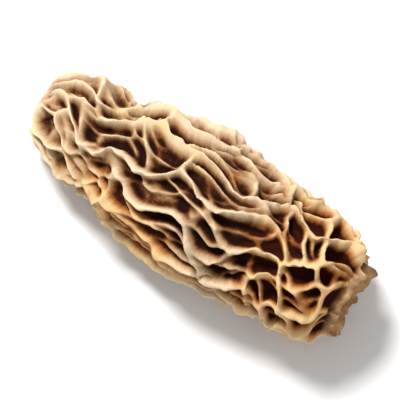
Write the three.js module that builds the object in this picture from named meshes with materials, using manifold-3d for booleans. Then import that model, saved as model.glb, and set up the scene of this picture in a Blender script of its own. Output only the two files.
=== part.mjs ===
// A dried morel: a hollow cap covered by a raised net of ridges, with its stem cut off just under the cap.
// It lies on its side with the tip of the cap at -X and the cut stem at +X. Millimetres, +Z up.
// The cap and the stem grew as one piece, so they are one mesh: a surface of revolution about the
// growing axis, raised by a formula into the net, bent and squashed as it dried, and hollowed out.
import * as THREE from "three";
import { mergeVertices } from "three/addons/utils/BufferGeometryUtils.js";
import Module from "manifold-3d";

// Driving dimensions
const CAP_LENGTH = 44;
const FLOOR_RADIUS = 6.9; // of the pit floors, at the widest part of the cap
const RIDGE_HEIGHT = 3;
const STEM_LENGTH = 1.3; // past the foot of the cap
const STEM_RADIUS = 4.1;
const STEM_HOLE_RADIUS = 3.2;
const WALL = 1.1; // between the hollow and the pit floors
const FLATTENING = 0.88; // height over width of the upper half of the dried cross-section
const UNDER_FLATTENING = 0.8; // and of the lower half, which it lay on
const REST_CUT = 1.7; // how much of the lowest ridges is pressed flat where the cap rests
const TIP_BEND = 1.7; // sideways, to +Y
const TIP_DROOP = 2.2;

// The raised net is three in one: long ridges over the whole cap, shorter ones that run lengthwise
// from the tip, and ones round rounder pits at the foot. Each has one pit round each of its seeds.
// The stretch is the length of a pit over its width, the shift is the largest random shift of a seed,
// and the rungs are the strength of the cross ridges beside the lengthwise ones. The ridges are wider
// with more blur, near their full height where the seeds' spread is full, and wander by the wave.
const LONG_NET = { pits: 84, stretch: 2.9, shift: 0.8, blur: 0.9, full: 1.3, rungs: 0.4, wave: 0.6, seed: 4 };
const TIP_NET = { pits: 116, stretch: 2.3, shift: 0.7, blur: 0.6, full: 0.9, rungs: 0.6, wave: 0.5, seed: 6 };
const FOOT_NET = { pits: 230, stretch: 1.3, shift: 0.7, blur: 0.65, full: 0.8, rungs: 1, wave: 0.6, seed: 9 };
const TIP_NET_RADIUS = 4.5; // of the tube on which the tip's net is laid out
const END_SHARE = 0.88; // height of the ridges of the tip's and the foot's net, over the full height
const LONG_AT_TIP = 0.45; // share of the long ridges' height that is left there
const LONG_AT_FOOT = 0.65;
const APEX_RADIUS = 2.6; // of the smooth blunt end of the tip
const APEX_HEIGHT = 0.8; // its height over that of the ridges
const TIP_RELIEF = 0.75; // share of all ridges' height that is left at the tip
const FOOT_WAVE = 0.6; // how far the net's edge at the stem wanders
const TIP_CROWDING = 1.9; // pits for an area at the tip, over those on the rest of the cap
const GOLDEN_ANGLE = Math.PI * (3 - Math.sqrt(5));

// Steps of the mesh
const COLUMNS = 96;
const ROWS = 58;
const HOLLOW_COLUMNS = 24;
const HOLLOW_ROWS = 14;
const FOOT_CROWDING = 1.1; // how much closer together the rows are at the foot
const OUTLINE_STEPS = 600;

// Where the pit floors run, from the tip over the cap and its foot to the cut end of the stem.
// Each point is a share of the cap's length from the tip, and a share of the widest floor radius.
const stemShare = STEM_RADIUS / FLOOR_RADIUS;
const cutEnd = 1 + STEM_LENGTH / CAP_LENGTH;
const floorOutline = outline([
  [0.03, 0],
  [0.032, 0.12],
  [0.045, 0.28],
  [0.08, 0.45],
  [0.16, 0.61],
  [0.28, 0.72],
  [0.4, 0.9],
  [0.52, 1.0],
  [0.66, 0.95],
  [0.8, 0.82],
  [0.89, 0.78],
  [0.945, 0.7],
  [0.975, stemShare * 1.05],
  [1.0, stemShare * 0.98],
  [cutEnd, stemShare],
]);

// The inside wall, from the blind end under the tip to past the cut end of the stem
const holeShare = STEM_HOLE_RADIUS / FLOOR_RADIUS;
const wallShare = WALL / FLOOR_RADIUS;
const hollowOutline = outline([
  [0.12, 0],
  [0.13, 0.22],
  [0.18, 0.61 - wallShare],
  [0.28, 0.72 - wallShare],
  [0.4, 0.9 - wallShare],
  [0.52, 1.0 - wallShare],
  [0.66, 0.95 - wallShare],
  [0.8, 0.82 - wallShare],
  [0.88, 0.7 - wallShare],
  [0.93, holeShare],
  [cutEnd + 0.04, holeShare],
]);

// A smooth curve through the points, sampled evenly, in millimetres: x along the cap and r from its axis
function outline(shares) {
  const curve = new THREE.SplineCurve(
    shares.map(([x, r]) => new THREE.Vector2(x * CAP_LENGTH, r * FLOOR_RADIUS)),
  );
  return curve.getPoints(OUTLINE_STEPS);
}

// The point of an outline at a share of its running total, with the direction across it, outwards
function outlineAt(points, totals, share) {
  const wanted = share * totals.at(-1);
  let i = 1;
  while (i < points.length - 1 && totals[i] < wanted) i += 1;
  const part = (wanted - totals[i - 1]) / (totals[i] - totals[i - 1]);
  const at = points[i - 1].clone().lerp(points[i], part);
  const along = points[i].clone().sub(points[i - 1]).normalize();
  return { x: at.x, r: Math.max(0, at.y), outX: -along.y, outR: along.x };
}

// Running total of weight(a, b) over the steps of an outline
function runningTotal(points, weight) {
  const totals = [0];
  for (let i = 1; i < points.length; i += 1) {
    totals.push(totals[i - 1] + weight(points[i - 1], points[i]));
  }
  return totals;
}

const stepLength = (a, b) => a.distanceTo(b);

// 0 on the cap, rising to 1 on the stem, which keeps its round section
const stemness = (x) => THREE.MathUtils.smoothstep(x, 0.8 * CAP_LENGTH, 0.97 * CAP_LENGTH);

// Share of the net's full height: none on the stem, where the net has a wavy edge, and less at the tip
function netFade(x, angle) {
  const edge = x + FOOT_WAVE * (Math.sin(3 * angle + 1) + 0.6 * Math.sin(5 * angle + 0.4));
  const foot = 1 - THREE.MathUtils.smoothstep(edge, 0.95 * CAP_LENGTH, 1.01 * CAP_LENGTH);
  const pastTip = THREE.MathUtils.smoothstep(x, 0, 0.2 * CAP_LENGTH);
  return foot * THREE.MathUtils.lerp(TIP_RELIEF, 1, pastTip);
}

// Random numbers from 0 to 1, the same on every run
function makeRandom(seed) {
  let state = seed;
  return () => {
    state = (state * 16807) % 2147483647;
    return state / 2147483647;
  };
}

// 1 at the tip of the cap and 0 past its first third, and 0 up to its last third and 1 at the foot
const tipness = (x) => 1 - THREE.MathUtils.smoothstep(x, 0.05 * CAP_LENGTH, 0.36 * CAP_LENGTH);
const footness = (x) => THREE.MathUtils.smoothstep(x, 0.66 * CAP_LENGTH, 0.88 * CAP_LENGTH);

// Middles of a net's pits, evenly spread by area over the round cap and closer together at the tip
function pitSeeds(net, tube) {
  const cap = floorOutline.filter((p) => p.x <= CAP_LENGTH);
  const pastTip = (x) => THREE.MathUtils.smoothstep(x, 0, 0.3 * CAP_LENGTH);
  const crowding = (x) => THREE.MathUtils.lerp(TIP_CROWDING, 1, pastTip(x));
  const areas = runningTotal(cap, (a, b) => stepLength(a, b) * (a.y + b.y) * crowding(a.x));
  const random = makeRandom(net.seed);
  return Array.from({ length: net.pits }, (_, k) => {
    const at = outlineAt(cap, areas, (k + 0.5) / net.pits);
    const r = tube ?? at.r;
    const angle = k * GOLDEN_ANGLE;
    const shift = [random(), random(), random()].map((v) => (2 * v - 1) * net.shift);
    return [
      at.x / net.stretch + shift[0],
      r * Math.cos(angle) + shift[1],
      r * Math.sin(angle) + shift[2],
    ];
  });
}

const longSeeds = pitSeeds(LONG_NET);
const tipSeeds = pitSeeds(TIP_NET, TIP_NET_RADIUS);
const footSeeds = pitSeeds(FOOT_NET);

// Height of a net at a point of the round cap, from 0 on a pit floor to 1 on a ridge.
// Each seed pulls with a weight that falls off with distance. In a pit one seed has all the weight,
// and on a ridge two or three share it, so the spread of the weighted seeds is large only there.
function ridgeHeight(net, seeds, x, r, angle) {
  const [y, z] = [r * Math.cos(angle), r * Math.sin(angle)];
  const at = [
    x / net.stretch + net.wave * Math.sin(0.75 * y + 0.31 * x),
    y + net.wave * Math.sin(0.62 * x + 0.5 * z),
    z + net.wave * Math.sin(0.57 * x - 0.6 * y + 1.3),
  ];
  const squares = seeds.map((s) => s.reduce((sum, c, i) => sum + (c - at[i]) ** 2, 0));
  const nearest = Math.min(...squares);
  const weights = squares.map((d) => Math.exp((nearest - d) / (2 * net.blur ** 2)));
  const total = weights.reduce((a, b) => a + b, 0);
  const spread = (axis) => {
    let mean = 0;
    let meanSquare = 0;
    seeds.forEach((s, k) => {
      mean += (weights[k] / total) * s[axis];
      meanSquare += (weights[k] / total) * s[axis] ** 2;
    });
    return meanSquare - mean ** 2;
  };
  return 1 - Math.exp(-(spread(1) + spread(2) + net.rungs * spread(0)) / net.full);
}

// Height of all the ridges together, with a smooth blunt end at the tip
function netHeight(x, r, angle) {
  const [tip, foot] = [tipness(x), footness(x)];
  const longShare = 1 + (LONG_AT_TIP - 1) * tip + (LONG_AT_FOOT - 1) * foot;
  const long = longShare * ridgeHeight(LONG_NET, longSeeds, x, r, angle);
  const short =
    tip * ridgeHeight(TIP_NET, tipSeeds, x, TIP_NET_RADIUS, angle) +
    foot * ridgeHeight(FOOT_NET, footSeeds, x, r, angle);
  const net = 1 - (1 - long) * (1 - END_SHARE * short);
  const pastApex = THREE.MathUtils.smoothstep(r, 0.3 * APEX_RADIUS, APEX_RADIUS);
  return THREE.MathUtils.lerp(APEX_HEIGHT, net, pastApex);
}

// Slow swelling and shrinking of the dried cap round its axis and along it, less on the stem
function lobes(x, angle) {
  const share = THREE.MathUtils.lerp(1, 0.35, stemness(x));
  const swell =
    0.035 * Math.sin(2 * angle + 0.07 * x + 0.6) +
    0.03 * Math.sin(3 * angle - 0.16 * x) +
    0.022 * Math.sin(5 * angle + 0.3 * x + 2);
  return 1 + share * swell;
}

// Takes a point of the round morel to where it lies: the cap flattened, its tip bent sideways and drooping
function lay(x, r, angle) {
  const onCap = Math.sin(angle) < 0 ? UNDER_FLATTENING : FLATTENING;
  const flattening = THREE.MathUtils.lerp(onCap, 1, stemness(x));
  const bend = Math.max(0, 1 - x / (0.5 * CAP_LENGTH)) ** 2;
  const restHeight = (FLOOR_RADIUS + RIDGE_HEIGHT) * UNDER_FLATTENING - REST_CUT;
  return new THREE.Vector3(
    x,
    r * Math.cos(angle) + TIP_BEND * bend,
    r * flattening * Math.sin(angle) + restHeight - TIP_DROOP * bend,
  );
}

// The outside of the morel, with its lowest ridges pressed flat on the surface that it lies on
function outsidePoint(share, angle) {
  const at = outlineAt(floorOutline, ringPlaces, share);
  const height = RIDGE_HEIGHT * netFade(at.x, angle) * netHeight(at.x, at.r, angle);
  const p = lay(at.x + height * at.outX, at.r * lobes(at.x, angle) + height * at.outR, angle);
  p.z = Math.max(0, p.z);
  return p;
}

function hollowPoint(share, angle) {
  const at = outlineAt(hollowOutline, hollowLengths, share);
  return lay(at.x, at.r * lobes(at.x, angle), angle);
}

// A closed surface through rings of points, with a single point at each end.
// Each four-sided cell is split along the diagonal that passes nearer to the surface at its middle,
// so that the edges follow the ridges.
function closedSurface(pointAt, rows, columns) {
  const positions = [];
  const faces = [];
  const put = (p) => positions.push(p) - 1;
  const start = put(pointAt(0, 0));
  const rings = [];
  for (let i = 1; i <= rows; i += 1) {
    rings.push(
      Array.from({ length: columns }, (_, j) =>
        put(pointAt(i / rows, (2 * Math.PI * j) / columns)),
      ),
    );
  }
  const last = rings.at(-1);
  const middle = new THREE.Vector3();
  last.forEach((k) => middle.addScaledVector(positions[k], 1 / columns));
  const end = put(middle);
  for (let j = 0; j < columns; j += 1) {
    const next = (j + 1) % columns;
    faces.push([start, rings[0][next], rings[0][j]], [end, last[j], last[next]]);
    for (let i = 0; i < rings.length - 1; i += 1) {
      const [a, b] = [rings[i][j], rings[i][next]];
      const [c, d] = [rings[i + 1][next], rings[i + 1][j]];
      const centre = pointAt((i + 1.5) / rows, (2 * Math.PI * (j + 0.5)) / columns);
      const missedBy = (k, l) => centre.distanceTo(positions[k].clone().lerp(positions[l], 0.5));
      if (missedBy(a, c) < missedBy(b, d)) faces.push([a, b, c], [a, c, d]);
      else faces.push([a, b, d], [b, c, d]);
    }
  }
  const geometry = new THREE.BufferGeometry().setFromPoints(positions);
  geometry.setIndex(faces.flat());
  return geometry;
}

const ringPlaces = runningTotal(
  floorOutline,
  (a, b) => stepLength(a, b) * (1 + FOOT_CROWDING * footness(a.x)),
);
const hollowLengths = runningTotal(hollowOutline, stepLength);

const wasm = await Module();
wasm.setup();

function toSolid(geometry) {
  const merged = mergeVertices(geometry, 1e-4);
  return new wasm.Manifold(
    new wasm.Mesh({
      numProp: 3,
      vertProperties: merged.attributes.position.array,
      triVerts: new Uint32Array(merged.index.array),
    }),
  );
}

function toGeometry(solid) {
  const mesh = solid.getMesh();
  const geometry = new THREE.BufferGeometry();
  geometry.setAttribute("position", new THREE.BufferAttribute(mesh.vertProperties, 3));
  geometry.setIndex(new THREE.BufferAttribute(mesh.triVerts, 1));
  geometry.computeVertexNormals();
  return geometry;
}

function makeMorel() {
  const outside = toSolid(closedSurface(outsidePoint, ROWS, COLUMNS));
  const hollow = toSolid(closedSurface(hollowPoint, HOLLOW_ROWS, HOLLOW_COLUMNS));
  const geometry = toGeometry(outside.subtract(hollow));
  const dried = new THREE.MeshStandardMaterial({ color: 0x9c7449, roughness: 0.85, metalness: 0 });
  const morel = new THREE.Mesh(geometry, dried);
  morel.name = "morel";
  geometry.computeBoundingBox();
  const middle = geometry.boundingBox.getCenter(new THREE.Vector3());
  morel.position.set(-middle.x, -middle.y, -geometry.boundingBox.min.z);
  return morel;
}

const driedMorel = new THREE.Group();
driedMorel.add(makeMorel());

export default driedMorel;
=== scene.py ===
import math

import bpy
import numpy as np
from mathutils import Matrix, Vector


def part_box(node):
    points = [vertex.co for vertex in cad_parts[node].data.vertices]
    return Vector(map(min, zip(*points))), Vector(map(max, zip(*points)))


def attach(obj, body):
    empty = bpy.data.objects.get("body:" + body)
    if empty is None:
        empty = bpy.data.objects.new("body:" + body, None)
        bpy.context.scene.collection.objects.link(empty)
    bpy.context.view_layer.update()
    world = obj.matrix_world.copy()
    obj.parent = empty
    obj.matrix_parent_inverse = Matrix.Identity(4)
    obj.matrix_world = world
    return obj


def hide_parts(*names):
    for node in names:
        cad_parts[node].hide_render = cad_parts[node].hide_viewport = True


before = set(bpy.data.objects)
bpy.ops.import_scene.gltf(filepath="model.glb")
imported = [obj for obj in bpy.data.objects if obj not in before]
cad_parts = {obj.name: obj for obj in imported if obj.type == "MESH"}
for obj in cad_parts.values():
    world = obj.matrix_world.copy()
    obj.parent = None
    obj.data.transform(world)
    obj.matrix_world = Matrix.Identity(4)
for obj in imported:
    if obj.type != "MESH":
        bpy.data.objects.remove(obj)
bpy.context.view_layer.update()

# The morel grew as one piece, so it is one closed surface: the cap with its net of ridges, the
# stem cut off under it, and the wall of the hollow inside. It dried lying on its side, tip at -X.
# Its sizes are in millimetres along the growing axis, x from the tip, until it is laid in the frame.
MM = 0.001
CAP_LENGTH = 44.0
FLOOR_RADIUS = 6.9  # of the pit floors, at the widest part of the cap
RIDGE_HEIGHT = 3.0
STEM_LENGTH = 1.3  # past the foot of the cap
STEM_RADIUS = 4.1
STEM_HOLE_RADIUS = 3.2
WALL = 1.1
RIM_ROUNDING = 0.28  # of the cut edge of the stem
FLATTENING = 0.88  # height over width of the upper half
UNDER_FLATTENING = 0.8
REST_CUT = 1.7  # how much of the lowest ridges is pressed flat
TIP_BEND = 1.7
TIP_DROOP = 2.2


def smoothstep(x, low, high):
    """0 below low, 1 above high, and 3t^2 - 2t^3 between them."""
    t = np.clip((x - low) / (high - low), 0, 1)
    return t * t * (3 - 2 * t)


def running_length(curve, weight=1.0):
    """Length along a curve up to each of its points, each step times its weight."""
    steps = np.linalg.norm(np.diff(curve, axis=0), axis=1) * weight
    return np.concatenate([[0], np.cumsum(steps)])


def smooth_curve(points, steps=600):
    """Points on a uniform Catmull-Rom curve: a cubic between each two given points whose slope at a
    point is half the step from the one before to the one after."""
    given = np.array(points, dtype=float)
    last = len(given) - 1
    place = np.linspace(0, 1, steps + 1) * last
    i = np.minimum(np.floor(place).astype(int), last)
    before, here = given[np.maximum(i - 1, 0)], given[i]
    after, beyond = given[np.minimum(i + 1, last)], given[np.minimum(i + 2, last)]
    before = np.where((i == 0)[:, None], here, before)
    t = (place - i)[:, None]
    slope, next_slope = (after - before) / 2, (beyond - here) / 2
    cubic = 2 * here - 2 * after + slope + next_slope
    square = -3 * here + 3 * after - 2 * slope - next_slope
    return cubic * t**3 + square * t**2 + slope * t + here


# Where the pit floors and the hollow's wall run, as shares of the cap's length and widest radius
stem_share = STEM_RADIUS / FLOOR_RADIUS
hole_share = STEM_HOLE_RADIUS / FLOOR_RADIUS
wall_share = WALL / FLOOR_RADIUS
rim_share = RIM_ROUNDING / FLOOR_RADIUS
cut_end = 1 + STEM_LENGTH / CAP_LENGTH
rim_start = cut_end - RIM_ROUNDING / CAP_LENGTH
to_mm = np.array([CAP_LENGTH, FLOOR_RADIUS])
floor_outline = to_mm * smooth_curve([
    (0.03, 0), (0.032, 0.12), (0.045, 0.28), (0.08, 0.45), (0.16, 0.61), (0.28, 0.72), (0.4, 0.9),
    (0.52, 1.0), (0.66, 0.95), (0.8, 0.82), (0.89, 0.78), (0.945, 0.7), (0.975, stem_share * 1.05),
    (1.0, stem_share * 0.98), (rim_start, stem_share), (cut_end, stem_share - rim_share),
])
hollow_outline = to_mm * smooth_curve([
    (0.12, 0), (0.13, 0.22), (0.18, 0.61 - wall_share), (0.28, 0.72 - wall_share),
    (0.4, 0.9 - wall_share), (0.52, 1.0 - wall_share), (0.66, 0.95 - wall_share),
    (0.8, 0.82 - wall_share), (0.88, 0.7 - wall_share), (0.93, hole_share), (1.0, hole_share),
    (rim_start, hole_share), (cut_end, hole_share + rim_share),
])

# The raised net is four in one: tall long ridges over the whole cap, lower ones that part the long
# pits between them, ones that run lengthwise from the tip, and ones round rounder pits at the foot.
# Each is a set of pits: how many, their length over their width, the largest random shift of one,
# how wide and soon full the ridges are, how strong the cross ridges, how far they wander, and a seed.
LONG_NET = dict(pits=84, stretch=2.9, shift=0.8, blur=0.6, full=1.5, rungs=0.4, wave=0.6, seed=4)
FINE_NET = dict(pits=380, stretch=3.4, shift=0.6, blur=0.36, full=0.55, rungs=0.4, wave=0.5, seed=5)
TIP_NET = dict(pits=116, stretch=2.3, shift=0.7, blur=0.42, full=0.7, rungs=0.6, wave=0.5, seed=6)
FOOT_NET = dict(pits=230, stretch=1.3, shift=0.7, blur=0.5, full=0.6, rungs=1.0, wave=0.6, seed=9)
TIP_NET_RADIUS = 4.5  # of the tube on which the tip's net is laid out
FINE_SHARE = 0.66  # height of the lower ridges over that of the tall ones
END_SHARE = 0.88  # and of those of the tip and the foot
LONG_AT_TIP = 0.45  # share of the tall ridges' height that is left there
LONG_AT_FOOT = 0.65
APEX_RADIUS = 2.6  # of the smooth blunt end of the tip
APEX_HEIGHT = 0.8  # its height over that of the ridges
SHARPNESS = 1.25  # power of the net's height: above one narrows its ridges, below one its pits
SHARPNESS_AT_TIP = 0.5
SHARPNESS_AT_FOOT = 1.05
TIP_RELIEF = 0.75  # share of all ridges' height that is left at the tip
TIP_CROWDING = 1.9  # pits for an area at the tip, over those on the rest of the cap
FOOT_WAVE = 0.6  # how far the net's edge at the stem wanders
GOLDEN_ANGLE = math.pi * (3 - math.sqrt(5))


def random_numbers(count, state):
    """Numbers from 0 to 1: each state is 16807 times the one before, modulo 2^31 - 1."""
    numbers = []
    for _ in range(count):
        state = state * 16807 % 2147483647
        numbers.append(state / 2147483647)
    return np.array(numbers)


def pit_seeds(net, tube_radius):
    """Middles of a net's pits: even steps of area along the round cap, a golden angle apart round
    it, closer together at the tip, and each shifted by three random numbers. The radius of a tube
    takes the place of the cap's if there is one."""
    cap = floor_outline[floor_outline[:, 0] <= CAP_LENGTH]
    start = cap[:-1]
    crowding = TIP_CROWDING + (1 - TIP_CROWDING) * smoothstep(start[:, 0], 0, 0.3 * CAP_LENGTH)
    areas = running_length(cap, (start[:, 1] + cap[1:, 1]) * crowding)
    k = np.arange(net["pits"])
    wanted = (k + 0.5) / net["pits"] * areas[-1]
    x = np.interp(wanted, areas, cap[:, 0])
    r = tube_radius or np.interp(wanted, areas, cap[:, 1])
    angle = k * GOLDEN_ANGLE
    shift = (2 * random_numbers(3 * net["pits"], net["seed"]).reshape(-1, 3) - 1) * net["shift"]
    return np.stack([x / net["stretch"], r * np.cos(angle), r * np.sin(angle)], axis=1) + shift


def ridge_height(net, x, r, angle, tube_radius=None):
    """0 on a pit floor to 1 on a ridge. Each seed pulls on a point with a weight that falls off as
    a bell curve with distance; the height grows with the variance of the seeds under those weights,
    which is nothing where one seed has all the weight and large where two or three share it."""
    seeds = pit_seeds(net, tube_radius)
    y, z = (tube_radius or r) * np.cos(angle), (tube_radius or r) * np.sin(angle)
    at = np.stack([
        x / net["stretch"] + net["wave"] * np.sin(0.75 * y + 0.31 * x),
        y + net["wave"] * np.sin(0.62 * x + 0.5 * z),
        z + net["wave"] * np.sin(0.57 * x - 0.6 * y + 1.3),
    ], axis=-1)
    squares = sum((at[..., None, i] - seeds[:, i]) ** 2 for i in range(3))
    weights = np.exp((squares.min(axis=-1, keepdims=True) - squares) / (2 * net["blur"] ** 2))
    weights /= weights.sum(axis=-1, keepdims=True)
    spread = weights @ seeds**2 - (weights @ seeds) ** 2
    total = spread[..., 1] + spread[..., 2] + net["rungs"] * spread[..., 0]
    return 1 - np.exp(-total / net["full"])


def net_height(x, r, angle, tip, foot):
    """The ridges together: what the tall ones leave of the depth is filled in part by the lower ones.
    A power sharpens their crests, and the end of the tip is smooth."""
    fine_share = FINE_SHARE + (END_SHARE - FINE_SHARE) * (tip + foot)
    sharpness = SHARPNESS + (SHARPNESS_AT_TIP - SHARPNESS) * tip
    sharpness = sharpness + (SHARPNESS_AT_FOOT - SHARPNESS) * foot
    tall_share = 1 + (LONG_AT_TIP - 1) * tip + (LONG_AT_FOOT - 1) * foot
    tall = tall_share * ridge_height(LONG_NET, x, r, angle)
    low = (
        (1 - tip) * (1 - foot) * ridge_height(FINE_NET, x, r, angle)
        + tip * ridge_height(TIP_NET, x, r, angle, TIP_NET_RADIUS)
        + foot * ridge_height(FOOT_NET, x, r, angle)
    )
    net = (1 - (1 - tall) * (1 - fine_share * low)) ** sharpness
    past_apex = smoothstep(r, 0.3 * APEX_RADIUS, APEX_RADIUS)
    return APEX_HEIGHT + (net - APEX_HEIGHT) * past_apex


def net_fade(x, angle):
    """Share of the net's full height: none on the stem, with a wavy edge there, less at the tip."""
    edge = x + FOOT_WAVE * (np.sin(3 * angle + 1) + 0.6 * np.sin(5 * angle + 0.4))
    foot = 1 - smoothstep(edge, 0.95 * CAP_LENGTH, 1.01 * CAP_LENGTH)
    past_tip = smoothstep(x, 0, 0.2 * CAP_LENGTH)
    return foot * (TIP_RELIEF + (1 - TIP_RELIEF) * past_tip)


# As it dried the body swelled and shrank in lobes, furrowed along the stem, bent at the tip and sagged
# on the surface under it. The crests of one flank are worn low, and the stem's cut edge is uneven.
WORN_PLACE = 0.4  # middle of the worn flank, as a share of the cap's length
WORN_LENGTH = 0.16
WORN_ANGLE = 2.9
WORN_WIDTH = 0.3


def waves(places, size, seed, count=10):
    """Slow random swelling, about -1 to 1: the sum of sines about size long, with directions and
    phases from random numbers."""
    total = 0
    for *way, phase in random_numbers(4 * count, seed).reshape(-1, 4):
        way = np.array(way) * 2 - 1
        way = way / np.linalg.norm(way) * 2 * math.pi / size
        total = total + np.sin(places @ way + 2 * math.pi * phase)
    return total / math.sqrt(2 * count)


def stemness(x):
    """0 on the cap, rising to 1 on the stem."""
    return smoothstep(x, 0.8 * CAP_LENGTH, 0.97 * CAP_LENGTH)


def lobes(x, angle):
    """Slow swelling round and along the cap, three sines with 2, 3 and 5 waves round it, and the
    stem's lengthwise furrows, three sines with 4, 7 and 11."""
    swell = (
        0.035 * np.sin(2 * angle + 0.07 * x + 0.6)
        + 0.03 * np.sin(3 * angle - 0.16 * x)
        + 0.022 * np.sin(5 * angle + 0.3 * x + 2)
    )
    furrows = (
        0.035 * np.sin(4 * angle + 1.1)
        + 0.03 * np.sin(7 * angle + 0.25 * x)
        + 0.018 * np.sin(11 * angle + 2.4)
    )
    share = stemness(x)
    return 1 + (1 - 0.65 * share) * swell + share * furrows


def cut_edge(x, angle):
    """How far the uneven cut moves a place of the stem along it: sines with 2, 3 and 8 waves round
    the stem, growing from nothing at the foot of the cap to full at the cut."""
    uneven = 0.35 * np.sin(2 * angle + 1) + 0.2 * np.sin(3 * angle + 2.6) + 0.13 * np.sin(8 * angle)
    return smoothstep(x, 0.975 * CAP_LENGTH, cut_end * CAP_LENGTH) * uneven


def worn_flank(x, angle):
    """1 in the middle of the flank where the crests are worn low, falling to 0 round it: a bell curve
    along the cap times one round it."""
    along_cap = (x / CAP_LENGTH - WORN_PLACE) / WORN_LENGTH
    round_cap = np.sin((angle - WORN_ANGLE) / 2) / WORN_WIDTH
    return np.exp(-(along_cap**2) - round_cap**2)


def lay(x, r, angle):
    """Takes points of the round morel to where they lie: flattened across, more so below, and with
    the tip bent sideways and drooping by the square of the distance from the belly."""
    on_cap = np.where(np.sin(angle) < 0, UNDER_FLATTENING, FLATTENING)
    flattening = on_cap + (1 - on_cap) * stemness(x)
    bend = np.maximum(0, 1 - x / (0.5 * CAP_LENGTH)) ** 2
    rest_height = (FLOOR_RADIUS + RIDGE_HEIGHT) * UNDER_FLATTENING - REST_CUT
    return np.stack([
        x,
        r * np.cos(angle) + TIP_BEND * bend,
        r * flattening * np.sin(angle) + rest_height - TIP_DROOP * bend,
    ], axis=-1)


# The outside, from the tip to the cut end. Its crests are uneven, frayed and wrinkled, and lean and
# slip to either side, with pleats down the walls of the pits. The net runs on over the stem as folds.
AROUND = 384
ROWS_OUTSIDE = 232
ROWS_INSIDE = 20
STEM_FOLDS = 0.2  # height of the folds over that of the ridges


def along(curve, rows):
    """Points evenly spaced along a curve, and the direction across it there, outwards."""
    lengths = running_length(curve)
    wanted = np.linspace(0, lengths[-1], rows)
    x = np.interp(wanted, lengths, curve[:, 0])
    r = np.maximum(np.interp(wanted, lengths, curve[:, 1]), 0)
    step = np.diff(curve, axis=0)
    step = step / np.linalg.norm(step, axis=1, keepdims=True)
    middle = (lengths[:-1] + lengths[1:]) / 2
    out_x = -np.interp(wanted, middle, step[:, 1])
    out_r = np.interp(wanted, middle, step[:, 0])
    return x, r, out_x, out_r


def window_mean(values, rows, columns):
    """The mean of the values in a window round each place of the grid, which closes round the cap:
    differences of running sums."""
    wide = np.concatenate([values[:, -columns:], values, values[:, :columns]], axis=1)
    sums = np.cumsum(wide, axis=1)
    means = (sums[:, 2 * columns:] - sums[:, :-2 * columns]) / (2 * columns)
    tall = np.concatenate([means[:1].repeat(rows, axis=0), means, means[-1:].repeat(rows, axis=0)])
    sums = np.cumsum(tall, axis=0)
    return (sums[2 * rows:] - sums[:-2 * rows]) / (2 * rows)


angles = np.arange(AROUND) * 2 * math.pi / AROUND
x, r, out_x, out_r = (v[1:, None] for v in along(floor_outline, ROWS_OUTSIDE))
angle = angles[None, :] + 0 * x
x, r = x + 0 * angle, r + 0 * angle
outside_body = np.stack([x, r * np.cos(angle), r * np.sin(angle)], axis=-1)
tip = 1 - smoothstep(x, 0.05 * CAP_LENGTH, 0.36 * CAP_LENGTH)
foot = smoothstep(x, 0.66 * CAP_LENGTH, 0.88 * CAP_LENGTH)
net = net_height(x, r, angle, tip, foot)
fade = net_fade(x, angle)
worn = worn_flank(x, angle)
unevenness = 1 + 0.14 * waves(outside_body, size=6, seed=21)
unevenness = unevenness + 0.09 * waves(outside_body, size=2.2, seed=22)
wrinkles = 0.07 * waves(outside_body * [0.4, 1, 1], size=0.9, seed=23)
frayed = 0.1 * net**2 * (1 + foot) * waves(outside_body, size=1, seed=28, count=16)
pleats = 0.1 * net * waves(outside_body, size=1, seed=29, count=16)
height = RIDGE_HEIGHT * net * unevenness * (1 - 0.35 * worn) + 0.2 * worn + wrinkles + frayed
height = fade * height + (1 - fade) * STEM_FOLDS * RIDGE_HEIGHT * net
sideways = 0.9 * waves(outside_body, size=8, seed=24)
sideways = sideways + 0.35 * waves(outside_body, size=2.4, seed=26)
lengthwise = 0.5 * waves(outside_body, size=5, seed=25)
lengthwise = lengthwise + 0.25 * waves(outside_body, size=2, seed=27)
lean = fade * (net**2 * sideways + pleats)
slip = fade * (net**2 * lengthwise + pleats)
outside = lay(
    x + slip + height * out_x + cut_edge(x, angle),
    r * lobes(x, angle) + height * out_r,
    angle + lean / np.maximum(r, 2.5),
)
outside[..., 2] = np.maximum(outside[..., 2], 0)
outside_looks = {
    # The net's height, which in the colour also takes the pits nearly to black: partly the flesh's own
    # dark brown, partly painted shade.
    "net": net * (fade > 0),
    # How far a place stands above its neighbours, which in the colour lightens the crests: partly their
    # own paler edge, partly a painted highlight.
    "crest": height - window_mean(height, rows=5, columns=7),
    "tip": tip,
    "stem": smoothstep(x, 0.995 * CAP_LENGTH, 1.02 * CAP_LENGTH) * (1 - 0.6 * net),
    "foot": foot,
    "worn": worn,
    "hollow": 0 * x,
}

# The hollow's wall, from the cut end back to its blind end
x, r, _, _ = (v[::-1, None][:-1] for v in along(hollow_outline, ROWS_INSIDE))
angle = angles[None, :] + 0 * x
x, r = x + 0 * angle, r + 0 * angle
inside_body = np.stack([x, r * np.cos(angle), r * np.sin(angle)], axis=-1)
inside = lay(x + cut_edge(x, angle), r * lobes(x, angle), angle)
inside_looks = {key: (key == "hollow") + 0 * x for key in outside_looks}


def join_rings(outer, inner):
    """The values of all rings in a row, then those of the point that closes the tip and of the one
    that closes the hollow, which are the means of the rings next to them."""
    shape = (-1, *outer.shape[2:])
    poles = np.stack([outer[0].mean(axis=0), inner[-1].mean(axis=0)])
    return np.concatenate([outer.reshape(shape), inner.reshape(shape), poles])


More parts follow.
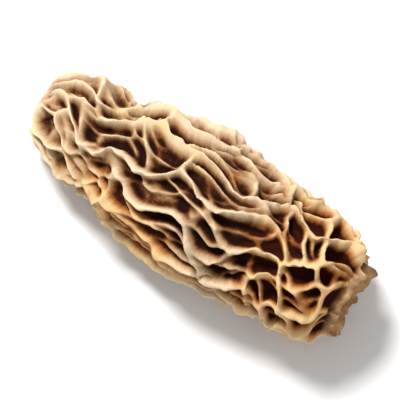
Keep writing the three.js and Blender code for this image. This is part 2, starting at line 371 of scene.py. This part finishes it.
def ring_faces(ring_count, around):
    """Four-sided faces between neighbouring rings, and a fan of triangles at each end."""
    i = np.arange(ring_count - 1)[:, None] * around
    j = np.arange(around)[None, :]
    k = (j + 1) % around
    quads = np.stack([i + j, i + k, i + around + k, i + around + j], axis=-1).reshape(-1, 4)
    first, last = ring_count * around, ring_count * around + 1
    end = (ring_count - 1) * around
    fans = [(first, int(b), int(a)) for a, b in zip(j[0], k[0])]
    fans += [(last, int(end + a), int(end + b)) for a, b in zip(j[0], k[0])]
    return quads.tolist() + fans


def add_mesh(name, points, faces, attributes):
    """A smooth shaded mesh object at the origin, with a number or a place for each vertex by name."""
    mesh = bpy.data.meshes.new(name)
    mesh.from_pydata(points.tolist(), [], faces)
    for key, values in attributes.items():
        kind, part = ("FLOAT", "value") if values.ndim == 1 else ("FLOAT_VECTOR", "vector")
        layer = mesh.attributes.new(key, kind, "POINT")
        layer.data.foreach_set(part, np.ascontiguousarray(values, dtype=np.float32).ravel())
    mesh.shade_smooth()
    piece = bpy.data.objects.new(name, mesh)
    bpy.context.scene.collection.objects.link(piece)
    return piece


# The finished surface fills the solid's own box
points = join_rings(outside, inside) * MM
looks = {key: join_rings(values, inside_looks[key]) for key, values in outside_looks.items()}
looks["body"] = join_rings(outside_body, inside_body) * MM
low, high = (np.array(corner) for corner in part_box("morel"))
own_low, own_high = points.min(axis=0), points.max(axis=0)
points = low + (points - own_low) / (own_high - own_low) * (high - low)
morel = add_mesh("dried_morel", points, ring_faces(len(outside) + len(inside), AROUND), looks)


class Value:
    """A socket that carries numbers, with arithmetic that adds Math nodes."""

    def __init__(self, shader, socket):
        self.shader = shader
        self.socket = socket

    def _math(self, operation, *others, clamp=False):
        settings = {"operation": operation, "use_clamp": clamp}
        return self.shader.node("ShaderNodeMath", settings, dict(enumerate(others)))

    def __add__(self, other):
        return self._math("ADD", self, other)

    __radd__ = __add__

    def __sub__(self, other):
        return self._math("SUBTRACT", self, other)

    def __rsub__(self, other):
        return self._math("SUBTRACT", other, self)

    def __mul__(self, other):
        return self._math("MULTIPLY", self, other)

    __rmul__ = __mul__

    def clamp(self):
        return self._math("ADD", self, 0.0, clamp=True)


class Shader:
    """The nodes of one material."""

    def __init__(self, name):
        self.material = bpy.data.materials.new(name)
        self.material.use_nodes = True
        self.tree = self.material.node_tree
        self.principled = self.tree.nodes["Principled BSDF"]

    def node(self, kind, settings={}, sockets={}, output=0):
        """Adds a node: first its settings, with a ramp's stops as (place, colour), then its sockets,
        by name or number, as numbers or links. Returns the wanted output."""
        made = self.tree.nodes.new(kind)
        for key, value in settings.items():
            if key == "stops":
                stops = made.color_ramp.elements
                while len(stops) < len(value):
                    stops.new(0.5)
                for stop, (place, colour) in zip(stops, value):
                    stop.position = place
                    stop.color = (*colour, 1)
            else:
                setattr(made, key, value)
        for key, value in sockets.items():
            self.feed(made.inputs[key], value)
        return Value(self, made.outputs[output])

    def feed(self, socket, value):
        if isinstance(value, Value):
            self.tree.links.new(value.socket, socket)
        else:
            socket.default_value = value

    def attribute(self, name):
        return self.node("ShaderNodeAttribute", {"attribute_name": name}, output=2)

    def noise(self, size_mm, stretch=1.0, detail=3.0):
        """Noise with spots of a size, drawn out along the morel by the stretch. Its places are those of
        the smooth body under the net, so the spots become streaks down the walls of the pits."""
        where = self.node("ShaderNodeAttribute", {"attribute_name": "body"}, output=1)
        drawn = self.node("ShaderNodeMapping", {}, {"Vector": where, "Scale": (1 / stretch, 1, 1)})
        return self.node("ShaderNodeTexNoise", {}, {
            "Vector": drawn, "Scale": 1 / (size_mm * MM), "Detail": detail, "Roughness": 0.6})

    def ramp(self, level, *stops):
        return self.node("ShaderNodeValToRGB", {"stops": stops}, {"Fac": level})

    def mix(self, share, first, second):
        sockets = {0: share, 6: first, 7: second}
        return self.node("ShaderNodeMix", {"data_type": "RGBA"}, sockets, output=2)


def srgb(red, green, blue):
    """A colour given in 0 to 255 as the linear light that Blender wants."""
    c = np.array([red, green, blue]) / 255
    return tuple(np.where(c <= 0.04045, c / 12.92, ((c + 0.055) / 1.055) ** 2.4).tolist())


def dried_flesh():
    """The dried flesh: nearly black deep in the pits, partly its own dark brown and partly painted
    shade; brown and orange on the flanks; cream on the crests, partly their own paler edges and partly
    a painted highlight; cream at the tip; and pale on the stem and in the hollow."""
    s = Shader("dried_flesh")
    keys = ("net", "crest", "tip", "foot", "worn", "stem", "hollow")
    net, crest, tip, foot, worn, stem, hollow = (s.attribute(key) for key in keys)
    blotch = s.noise(6.0)
    streak = s.noise(0.8, stretch=1.6)
    grain = s.noise(0.3)
    uneven = (blotch - 0.5) * 0.55 + (streak - 0.5) * 0.55 + (grain - 0.5) * 0.26
    # The net's height takes the pits nearly to black, partly their own dark brown and partly painted
    # shade. The crest term lightens the crests, partly their own paler edge and partly a painted
    # highlight.
    level = net * 0.83 + crest * 0.52 + tip * 0.02 - foot * 0.2 + 0.15
    level = (level + uneven).clamp()
    flesh = s.ramp(
        level, (0.0, srgb(28, 6, 0)), (0.17, srgb(68, 28, 6)), (0.36, srgb(126, 84, 50)),
        (0.54, srgb(166, 132, 98)), (0.74, srgb(190, 158, 124)), (0.87, srgb(204, 174, 140)),
        (1.0, srgb(220, 194, 162)),
    )
    golden = s.ramp(
        level, (0.1, srgb(58, 14, 3)), (0.44, srgb(172, 104, 48)), (0.84, srgb(220, 180, 124)),
    )
    golden_share = s.noise(5.0) * 4.0 - 2.2 + worn * 1.8 + foot * 1.4 - tip * 0.5
    flesh = s.mix(golden_share.clamp() * 0.8, flesh, golden)
    olive = s.ramp(
        level, (0.15, srgb(44, 24, 6)), (0.44, srgb(140, 112, 62)), (0.84, srgb(214, 192, 140)),
    )
    olive_share = s.noise(4.5) * 5.0 - 2.6
    flesh = s.mix(olive_share.clamp() * 0.45, flesh, olive)
    pale = s.ramp(
        s.noise(1.2) * 0.75 + net * 0.25,
        (0.3, srgb(164, 118, 76)), (0.55, srgb(212, 176, 132)), (0.75, srgb(232, 206, 168)),
    )
    inner = s.ramp(s.noise(2.5), (0.3, srgb(150, 108, 62)), (0.7, srgb(214, 180, 124)))
    colour = s.mix(hollow, s.mix(stem, flesh, pale), inner)
    s.feed(s.principled.inputs["Base Color"], colour)
    s.feed(s.principled.inputs["Specular IOR Level"], 0.12)
    s.feed(s.principled.inputs["Roughness"], 0.88 - level * 0.22)
    relief = s.node("ShaderNodeBump", {}, {
        "Strength": 0.8, "Distance": 0.2 * MM, "Height": streak + grain * 0.6})
    s.feed(s.principled.inputs["Normal"], relief)
    return s.material


morel.data.materials.append(dried_flesh())
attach(morel, "root")
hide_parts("morel")

# The floor is a plain pale sheet, wide enough to reach past every edge of the picture when the
# morel is looked at from above or from low down.
FLOOR_SIZE = 2.0
half = FLOOR_SIZE / 2
floor_mesh = bpy.data.meshes.new("floor")
floor_mesh.from_pydata(
    [(-half, -half, 0), (half, -half, 0), (half, half, 0), (-half, half, 0)], [], [(0, 1, 2, 3)],
)
floor = bpy.data.objects.new("floor", floor_mesh)
bpy.context.scene.collection.objects.link(floor)
floor_shader = Shader("pale_floor")
floor_shader.principled.inputs["Base Color"].default_value = (0.9, 0.9, 0.9, 1)
floor_shader.principled.inputs["Roughness"].default_value = 0.9
floor_mesh.materials.append(floor_shader.material)

# The camera looks down on the lying morel from far off, so that its axis slopes down to the right,
# with the tip at the upper left.
CAMERA_AZIMUTH = math.radians(33.5)
CAMERA_ELEVATION = math.radians(72)
CAMERA_DISTANCE = 0.45
HALF_VIEW = 0.0235  # half the width that the picture takes in at the morel
target = Vector((0.0005, 0, 0.007))
towards = Vector((
    math.sin(CAMERA_AZIMUTH) * math.cos(CAMERA_ELEVATION),
    -math.cos(CAMERA_AZIMUTH) * math.cos(CAMERA_ELEVATION),
    math.sin(CAMERA_ELEVATION),
))
camera_data = bpy.data.cameras.new("camera")
camera_data.angle = 2 * math.atan(HALF_VIEW / CAMERA_DISTANCE)
camera_data.clip_start = 0.01
camera = bpy.data.objects.new("camera", camera_data)
camera.location = target + towards * CAMERA_DISTANCE
camera.rotation_euler = (-towards).to_track_quat("-Z", "Y").to_euler()
bpy.context.scene.collection.objects.link(camera)
bpy.context.scene.camera = camera


# Soft studio light: a broad key from the upper left, a weaker fill from the right, and white air
# that lightens the shadows.
AIR_STRENGTH = 0.44


def soft_light(name, place, size, power):
    """A round lamp at a place, a size across, turned to the morel."""
    data = bpy.data.lights.new(name, "AREA")
    data.shape = "DISK"
    data.size = size
    data.energy = power
    light = bpy.data.objects.new(name, data)
    light.location = place
    light.rotation_euler = (target - Vector(place)).to_track_quat("-Z", "Y").to_euler()
    bpy.context.scene.collection.objects.link(light)


soft_light("key", place=(-0.25, 0.12, 0.42), size=0.16, power=3.2)
soft_light("fill", place=(0.4, -0.3, 0.3), size=0.4, power=0.6)
world = bpy.data.worlds.new("air")
world.use_nodes = True
world.node_tree.nodes["Background"].inputs[0].default_value = (1, 1, 1, 1)
world.node_tree.nodes["Background"].inputs[1].default_value = AIR_STRENGTH
bpy.context.scene.world = world
bpy.context.scene.view_settings.view_transform = "Standard"
